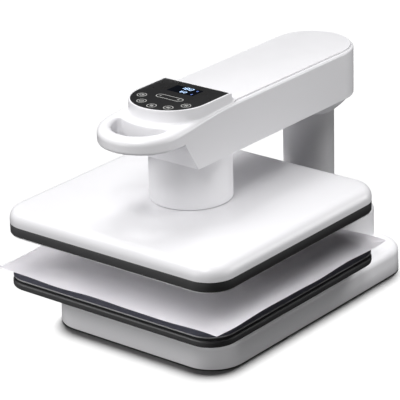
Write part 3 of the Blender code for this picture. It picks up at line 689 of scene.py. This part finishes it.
def build_arm():
    """The arm and its handle in one body, hollow under the lid and the console."""
    side = arc(0, NOSE_CENTRE, ARM_HALF, -90, 0, 40)
    stations = [CHIN_TOP - 0.006, CHIN_TOP - 0.0004, CHIN_TOP, CHIN_FOOT - 0.0008, CHIN_FOOT + 0.0004]
    stations += [PRESS_Y - 0.04, PRESS_Y - 0.02, PRESS_Y]
    stations += [SLOPE_START, SLOPE_START + 0.06, SLOPE_START + 0.12]
    side += [(ARM_HALF, y, -1, 0) for y in stations]
    side += arc(0, TAIL_CENTRE, ARM_HALF, 0, 90, 40)
    turns = [math.pi / 2 * k / 10 for k in range(11)]
    loops = [arm_loop(side, turn, False) for turn in reversed(turns)]
    loops += [arm_loop(side, turn, True) for turn in turns]
    bm = skin(loops, cap_first=False, cap_last=False)
    bm.verts.ensure_lookup_table()
    count = len(loops[0])
    ladder(bm, bm.verts[:count])
    ladder(bm, bm.verts[-count:])
    arm = piece("arm_body", bm, "white_shell", "arm", ["arm_shell"])
    carve(arm, finger_cutter(), *arm_cutters())


def build_arm_lid():
    """The lid's front end runs on under the console."""
    low, high = box("arm_lid")
    outline = round_rear(high.x, CONSOLE_REAR - 0.012, TAIL_CENTRE, 0.001, 80)
    rings = edges(low.z - 0.0002, high.z, 0.0002, 0.0011, 5)
    slab("arm_top_lid", outline, rings, "white_shell", "arm", ["arm_lid"])


def build_console():
    """The raised console: a wall that meets the handle's top in a fillet, and a hollow slope behind."""
    low, high = box("console_housing")
    outline = round_front(CONSOLE_HALF, CONSOLE_CENTRE, CONSOLE_REAR, 0.0016, 88)
    brow = 0.0009
    wall_top, heel_foot = high.z - brow, box("arm_lid")[1].z - 0.0002
    heel_run, draft = 0.0095, 0.0015

    def wall(t):
        """One loop of the wall, from its top at t = 0 to its foot at t = 1."""
        points = []
        for x, y, nx, ny in outline:
            fillet = 0.0010 + 0.0036 * max(0.0, ny) ** 2
            turn = math.pi / 2 * max(0.0, 2 * t - 1)
            out = draft * t + fillet * (1 - math.cos(turn))
            bend = arm_surface(x - nx * out, y - ny * out) - 0.0003 + fillet
            z = wall_top + (bend - wall_top) * min(1.0, 2 * t) - fillet * math.sin(turn)
            rearward = smooth_step(-ny, 0.0, 1.0)
            heel_out = heel_run * (1 - math.cos(math.pi / 2 * t))
            heel_z = wall_top - (wall_top - heel_foot) * math.sin(math.pi / 2 * t)
            back = out + (heel_out - out) * rearward
            points.append((x - nx * out, y - ny * back, z + (heel_z - z) * rearward))
        return points

    rim = CONSOLE_HALF - PANEL_HALF - 0.0002
    bevel, seat_depth, steps = 0.0003, 0.0030, 16
    loops = [inset(outline, rim, PANEL_TOP - seat_depth), inset(outline, rim, high.z - bevel)]
    loops += [inset(outline, rim - bevel, high.z)]
    loops += [inset(outline, across, high.z - drop) for across, drop in reversed(rounding(brow, 4))]
    loops += [wall(k / steps) for k in range(1, steps + 1)]
    loops.append(inset(outline, SHELL_WALL, low.z))
    piece("console", skin(loops), "white_shell", "arm", ["console_housing"])


# ---------------------------------------------------------------- touch panel
def stroke(bm, points, width, z, closed=False):
    """A flat printed line of that width through the points."""
    count = len(points)
    rails = []
    for k in range(count):
        before = Vector(points[(k - 1) % count] if closed or k else points[k])
        after = Vector(points[(k + 1) % count] if closed or k < count - 1 else points[k])
        along = (after - before).normalized()
        across = Vector((-along.y, along.x)) * width / 2
        here = Vector(points[k])
        rails.append((bm.verts.new((*(here + across), z)), bm.verts.new((*(here - across), z))))
    for k in range(count if closed else count - 1):
        (a, b), (c, d) = rails[k], rails[(k + 1) % count]
        bm.faces.new((a, b, d, c))


def circle(x, y, radius, start=0, end=360, steps=40):
    """Points (x, y) round a circle, or along a part of it."""
    return [p[:2] for p in arc(x, y, radius, start, end, steps)]


def pill(x, y, half, radius):
    """Points (x, y) round a bar with round ends; half is from its middle to an end's centre."""
    return ([p[:2] for p in arc(x + half, y, radius, -90, 90, 14)]
            + [p[:2] for p in arc(x - half, y, radius, 90, 270, 14)])


def thicken(bm, depth):
    """Give flat printed faces a thin body below them."""
    grown = bmesh.ops.extrude_face_region(bm, geom=bm.faces[:])
    moved = [v for v in grown["geom"] if isinstance(v, bmesh.types.BMVert)]
    bmesh.ops.translate(bm, vec=(0, 0, -depth), verts=moved)


ICON_LINE = 0.00085             # width of the printed lines
ICON_RADIUS = 0.0068
PRINT_Z = PANEL_TOP + 0.00008
ICONS = {                       # generic touch signs and their places (x, y) about the press axis
    "clock": (-0.0400, -0.0560),
    "power": (-0.0240, -0.0760),
    "heat": (0.0007, -0.0836),
    "count": (0.0257, -0.0770),
    "lamp": (0.0414, -0.0568),
}
# Lit figures: text, left end and baseline about the press axis, pitch, width, height and line width.
FIGURES = [
    ("180", -0.0125, -0.0038, 0.0078, 0.0048, 0.0074, 0.0012),
    ("60", -0.0032, -0.0166, 0.0060, 0.0036, 0.0054, 0.0010),
]
UNIT_RINGS = [(0.0174, -0.0006, 0.0013), (0.0184, -0.0156, 0.0012)]     # x, y and radius


def icon_sign(name, x, y):
    """The strokes inside a round touch sign."""
    r = 0.0030
    gap = 0.0018                # between parallel strokes
    if name == "clock":
        return [circle(x, y, r, steps=24), [(x, y + r * 0.7), (x, y), (x + r * 0.55, y)]]
    if name == "power":
        return [circle(x, y, r, 125, 415, 20), [(x, y + r * 1.25), (x, y + r * 0.1)]]
    if name == "heat":
        waves = []
        for dx in (-gap, 0.0, gap):
            waves.append([(x + dx + r * 0.2 * math.sin(k * 1.05), y - r + k * r / 3) for k in range(7)])
        return waves
    if name == "count":
        return [[(x - r, y + dy), (x + r, y + dy)] for dy in (-gap, 0.0, gap)]
    rays = [circle(x, y, r * 0.5, steps=16)]
    for k in range(8):
        c, s = math.cos(k * math.pi / 4), math.sin(k * math.pi / 4)
        rays.append([(x + c * r * 0.85, y + s * r * 0.85), (x + c * r * 1.25, y + s * r * 1.25)])
    return rays


SEGMENTS = {"0": "abcdef", "1": "bc", "6": "acdefg", "8": "abcdefg"}


def digit_strokes(figure, x, y, width, height, lean=0.12):
    """Seven-segment strokes of one leaning figure whose lower left corner is at x, y."""
    corners = {"a": ((0, 2), (1, 2)), "b": ((1, 2), (1, 1)), "c": ((1, 1), (1, 0)), "d": ((0, 0), (1, 0)),
               "e": ((0, 1), (0, 0)), "f": ((0, 2), (0, 1)), "g": ((0, 1), (1, 1))}
    strokes = []
    for name in SEGMENTS[figure]:
        ends = []
        for column, level in corners[name]:
            up = level * height / 2
            ends.append(Vector((x + column * width + lean * up, y + up)))
        gap = (ends[1] - ends[0]) * 0.10
        strokes.append((ends[0] + gap, ends[1] - gap))
    return strokes


def build_panel():
    """The glass panel and the display's window in it."""
    rear = CONSOLE_REAR - 0.0028
    thickness = 0.0022
    outline = round_front(PANEL_HALF, CONSOLE_CENTRE, rear, 0.0012, 88)
    rings = edges(PANEL_TOP - thickness, PANEL_TOP, 0.0002, 0.0004, 3)
    slab("touch_panel", outline, rings, "black_glass", "arm", ["panel_glass"])

    half = 0.024
    window = rectangle((-half, PRESS_Y - 0.0205), (half, PRESS_Y + 0.0050), 0.0008, 3)
    rings = [(0, PANEL_TOP - 0.0004), (0, PANEL_TOP + 0.00003)]
    slab("display_window", window, rings, "display", "arm", ["display_module"])


def build_signs():
    """The printed touch signs: five round ones, and a long one with a minus and a plus."""
    bm = bmesh.new()
    for name, (x, dy) in ICONS.items():
        y = PRESS_Y + dy
        stroke(bm, circle(x, y, ICON_RADIUS)[:-1], ICON_LINE, PRINT_Z, closed=True)
        for line in icon_sign(name, x, y):
            stroke(bm, line, ICON_LINE, PRINT_Z)
    x, y = 0.001, PRESS_Y - 0.0438
    stroke(bm, pill(x, y, 0.0172, 0.0058), ICON_LINE, PRINT_Z, closed=True)
    apart, arm = 0.0160, 0.0020
    for sign_x in (x - apart, x + apart):
        stroke(bm, [(sign_x - arm, y), (sign_x + arm, y)], ICON_LINE, PRINT_Z)
    stroke(bm, [(x + apart, y - arm), (x + apart, y + arm)], ICON_LINE, PRINT_Z)
    thicken(bm, 0.00006)
    piece("touch_signs", bm, "icon_print", "arm")


def build_display():
    """The lit figures, and a small ring for each one's unit."""
    glow = bmesh.new()
    for figures, left, dy, pitch, width, height, line in FIGURES:
        for k, figure in enumerate(figures):
            for start, end in digit_strokes(figure, left + k * pitch, PRESS_Y + dy, width, height):
                stroke(glow, [start, end], line, PRINT_Z)
    thicken(glow, 0.00004)
    piece("display_figures", glow, "digit_glow", "arm")

    units = bmesh.new()
    for x, dy, radius in UNIT_RINGS:
        ring = circle(x, PRESS_Y + dy, radius, steps=16)[:-1]
        stroke(units, ring, 0.0009, PRINT_Z, closed=True)
    thicken(units, 0.00004)
    piece("display_units", units, "unit_glow", "arm")


# ---------------------------------------------------------------- rear panel and underside
def through_y(loop, y0, y1):
    """A bmesh prism along Y through a loop of (x, z)."""
    return skin([[(x, y0, z) for x, z in loop], [(x, y1, z) for x, z in loop]])


def flange_tools(low, high, flange):
    """Tools that narrow a fitting inside the pedestal, and so leave a flange round it outside."""
    wall = box("pedestal_housing")[1].y + 0.0003
    left, right, foot, top = low.x - PAST, high.x + PAST, low.z - PAST, high.z + PAST
    tools = []
    for x0, x1, z0, z1 in ((left, low.x + flange, foot, top), (high.x - flange, right, foot, top),
                           (left, right, foot, low.z + flange), (left, right, high.z - flange, top)):
        tools.append(cutter(brick((x0, low.y - PAST, z0), (x1, wall, z1))))
    return tools


def build_inlet():
    """The mains inlet: a flanged body with a recess whose two upper corners are cut off."""
    low, high = box("inlet_body")
    body = piece("mains_inlet", brick(low, high, 0.0012), "black_plastic", "base", ["inlet_body"])
    middle = (low + high) / 2
    half, tall, chamfer = 0.0118, 0.0078, 0.0045
    left, right, foot, top = middle.x - half, middle.x + half, middle.z - tall, middle.z + tall
    mouth = [(left, foot), (right, foot), (right, top - chamfer), (right - chamfer, top),
             (left + chamfer, top), (left, top - chamfer)]
    recess = cutter(through_y(mouth, low.y + 0.0060, high.y + PAST))
    carve(body, recess, *flange_tools(low, high, INLET_FLANGE))


def build_switch():
    """The power switch's bezel, with a well for the rocker."""
    low, high = box("switch_housing")
    body = piece("switch_bezel", brick(low, high, 0.0010), "black_plastic", "base", ["switch_housing"])
    start, end = box("power_rocker")
    gap = 0.0006
    start, end = (start.x - gap, low.y + 0.002, start.z - gap), (end.x + gap, high.y + PAST, end.z + gap)
    carve(body, cutter(brick(start, end)), *flange_tools(low, high, SWITCH_FLANGE))


def screw_heads(name, places, radius, height, body):
    """Pan-head screws with a cross slot, heads down; places are where each head meets its surface."""
    steps = 24
    turns = [2 * math.pi * k / steps for k in range(steps)]
    slot = 0.30                 # reach of the cross slot, as a share of the head's radius
    cross = [slot if k % 6 in (0, 1, 5) else 0.14 for k in range(steps)]
    rows = [([1.0] * steps, 0.0), ([1.0] * steps, 0.35), ([0.9] * steps, 0.75), ([0.66] * steps, 1.0),
            ([slot] * steps, 1.0), (cross, 0.3)]
    bm = bmesh.new()
    for x, y, z in places:
        rings = []
        for shares, rise in rows:
            ring = []
            for share, turn in zip(shares, turns):
                px, py = x + radius * share * math.cos(turn), y + radius * share * math.sin(turn)
                ring.append(bm.verts.new((px, py, z - height * rise)))
            rings.append(ring)
        for outer, inner in zip(rings, rings[1:]):
            for k in range(steps):
                after = (k + 1) % steps
                bm.faces.new((outer[k], outer[after], inner[after], inner[k]))
        bm.faces.new(rings[0])
        bm.faces.new(rings[-1])
    piece(name, bm, "steel", body)


def build_screws():
    """Screws under the base plate and under the arm."""
    low, high = box("base_plate")
    in_x, in_y = 0.012, 0.050   # from the plate's edges
    middle = (low.y + high.y) / 2
    places = []
    for x in (low.x + in_x, 0.0, high.x - in_x):
        for y in (low.y + in_y, middle, high.y - in_y):
            if x or y != middle:
                places.append((x, y, low.z + 0.0001))
    screw_heads("base_screws", places, 0.0038, 0.0012, "base")

    apart = 0.040
    places = []
    for y in (PRESS_Y + 0.085, COLUMN_Y - 0.075):
        places += [(x, y, ARM_LOW.z + 0.0001) for x in (-apart, apart)]
    screw_heads("arm_screws", places, 0.0034, 0.0014, "arm")


def build_feet():
    """Rubber feet: rings that stand on a narrow rim."""
    hole, dish = 0.0030, 0.0004
    for node in [n for n in frame["nodes"] if n.startswith("foot_")]:
        low, high = box(node)
        at = ((low.x + high.x) / 2, (low.y + high.y) / 2)
        radius = (high.x - low.x) / 2
        profile = [(hole, high.z), (radius, high.z), (radius, low.z + 0.0005), (radius - 0.0006, low.z)]
        profile += [(radius - 0.0030, low.z), (radius - 0.0036, low.z + dish), (hole, low.z + dish)]
        lathe(node + "_pad", profile, at, "black_rubber", "base", [node], 48)


# ---------------------------------------------------------------- camera, light and floor
def build_camera():
    """A long lens from the front right, a little above the press."""
    data = bpy.data.cameras.new("camera")
    data.lens = 209.15
    data.sensor_width = 36
    data.clip_start, data.clip_end = 0.1, 50
    camera = bpy.data.objects.new("camera", data)
    bpy.context.scene.collection.objects.link(camera)
    tilt, roll, pan = 67.9292, 1.4819, 38.5172
    camera.location = (1.99281, -2.51048, 1.45605)
    camera.rotation_euler = (math.radians(tilt), math.radians(roll), math.radians(pan))
    bpy.context.scene.camera = camera


LIGHT_AIM = Vector((0, 0, 0.15))
LIGHT_DISTANCE = 3.0
LIT_APART = {                   # groups of pieces that have softboxes of their own
    "column": ["column_tube"],
    "base": ["base_body"],
    "sheet": ["press_sheet"],
    "stack": ["lower_tray_rim", "gasket_ring", "lower_bed", "silicone_mat", "platen_band", "heating_plate"],
}
LIGHTS = {                      # azimuth from the front towards +X, elevation, side in metres, watts
    "upper": [(15, 50, 1.2, 53), (225, 70, 1.2, 44), (135, 10, 1.2, 33), (315, 50, 1.2, 31),
              (105, 10, 1.2, 18), (345, 10, 1.2, 14)],
    "column": [(345, 40, 0.6, 125), (105, 70, 1.2, 38), (270, 10, 1.2, 35), (135, 10, 1.2, 19)],
    "base": [(75, 70, 1.2, 58), (315, 30, 1.2, 67), (135, 50, 1.2, 40), (15, 10, 1.2, 24), (225, 30, 1.2, 40),
             (105, 10, 1.2, 15)],
    "sheet": [(345, 10, 1.2, 102), (315, 30, 1.2, 93), (45, 50, 1.2, 54), (225, 50, 1.2, 47),
              (45, 70, 1.2, 40), (135, 70, 1.2, 25)],
    "stack": [(135, 70, 1.2, 170), (315, 50, 1.2, 115), (315, 10, 1.2, 29), (15, 10, 1.2, 23),
              (135, 10, 1.2, 10)],
}


def linked(name, objects, state):
    """A light-linking collection that includes or excludes these objects."""
    group = bpy.data.collections.new(name)
    for made in objects:
        group.objects.link(made)
    for link in group.collection_objects:
        link.light_linking.link_state = state
    return group


def area_light(name, azimuth, elevation, side, watts, receivers):
    """A square light on a dome about the press, facing it."""
    a, e = math.radians(azimuth), math.radians(elevation)
    away = Vector((math.sin(a) * math.cos(e), -math.cos(a) * math.cos(e), math.sin(e)))
    data = bpy.data.lights.new(name, "AREA")
    data.shape = "SQUARE"
    data.size = side
    data.energy = watts
    light = bpy.data.objects.new(name, data)
    bpy.context.scene.collection.objects.link(light)
    light.location = LIGHT_AIM + LIGHT_DISTANCE * away
    light.rotation_euler = (-away).to_track_quat("-Z", "Y").to_euler()
    light.light_linking.receiver_collection = receivers


def floor_light(floor):
    """A wash from behind that keeps the floor white up to the base's own shadow."""
    data = bpy.data.lights.new("floor_wash", "SUN")
    data.energy = 8.4
    data.angle = math.radians(32)
    light = bpy.data.objects.new("floor_wash", data)
    bpy.context.scene.collection.objects.link(light)
    light.rotation_euler = (math.radians(-35), 0, math.radians(30))
    light.light_linking.receiver_collection = linked("floor_only", [floor], "INCLUDE")
    caster = bpy.data.objects["base_body"]
    light.light_linking.blocker_collection = linked("floor_shadow", [caster], "INCLUDE")


def build_floor():
    """A wide plane that the camera sees and that throws no light back onto the press."""
    bm = bmesh.new()
    half_side = 8
    bmesh.ops.create_grid(bm, x_segments=1, y_segments=1, size=half_side)
    mesh = bpy.data.meshes.new("floor")
    bm.to_mesh(mesh)
    bm.free()
    floor = bpy.data.objects.new("floor", mesh)
    bpy.context.scene.collection.objects.link(floor)
    grey = (0.45, 0.45, 0.45)
    mesh.materials.append(finish("floor", grey, 0.9, mottle=(3.0, 0.004), grain=(300.0, 0.01)))
    floor.visible_diffuse = False
    floor.visible_glossy = False
    return floor


def build_studio():
    """Softboxes for each group of pieces, and the floor with its own wash."""
    scene = bpy.context.scene
    scene.view_settings.view_transform = "Standard"
    scene.view_settings.look = "None"
    world = bpy.data.worlds.new("studio")
    scene.world = world
    world.use_nodes = True
    world.node_tree.nodes["Background"].inputs["Color"].default_value = (1, 1, 1, 1)
    world.cycles_visibility.diffuse = False
    world.cycles_visibility.glossy = False

    floor = build_floor()
    floor_light(floor)
    receivers = {}
    apart = [floor]
    for group, names in LIT_APART.items():
        members = [bpy.data.objects[name] for name in names]
        receivers[group] = linked(group + "_only", members, "INCLUDE")
        apart += members
    receivers["upper"] = linked("all_but_those", apart, "EXCLUDE")
    for group, lights in LIGHTS.items():
        for k, (azimuth, elevation, side, watts) in enumerate(lights):
            area_light(f"{group}_{k}", azimuth, elevation, side, watts, receivers[group])


build_base()
build_platen_support()
build_pedestal()
build_column()
build_collar()
build_lower_platen()
build_sheet()
build_upper_platen()
build_press_sleeve()
build_arm()
build_arm_lid()
build_console()
build_panel()
build_signs()
build_display()
build_inlet()
build_switch()
build_screws()
build_feet()
build_camera()
build_studio()
